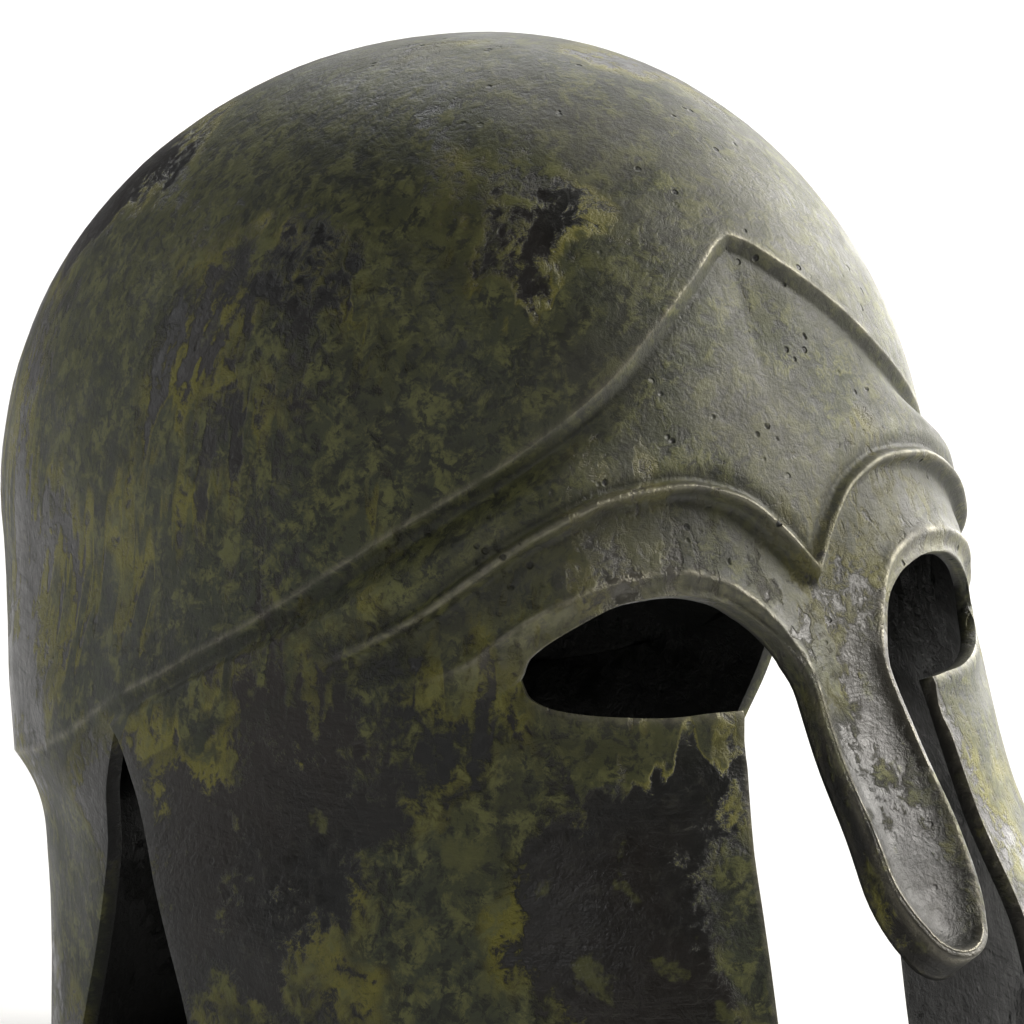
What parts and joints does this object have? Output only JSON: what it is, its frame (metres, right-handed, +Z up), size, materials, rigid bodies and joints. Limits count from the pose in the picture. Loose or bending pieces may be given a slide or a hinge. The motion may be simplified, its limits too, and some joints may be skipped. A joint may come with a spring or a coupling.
{
  "type": "corinthian helmet",
  "caption": "Closed cast bronze helmet with a domed skull, nose guard, eye openings, long cheekpieces and a flared neck guard.",
  "frame": {"origin": "on the plane the helmet rests on, under the centre of its bounding box", "axes": "+Z up, the face looks along -Y, +X is the wearer's left"},
  "size_m": [0.2094, 0.3068, 0.2584],
  "materials": {
    "bronze": "dark bronze with a mottled olive-green and brown patina, satin, rubbed bright on edges"
  },
  "bodies": {
    "root": {"helmet_shell": "bronze"}
  },
  "joints": []
}
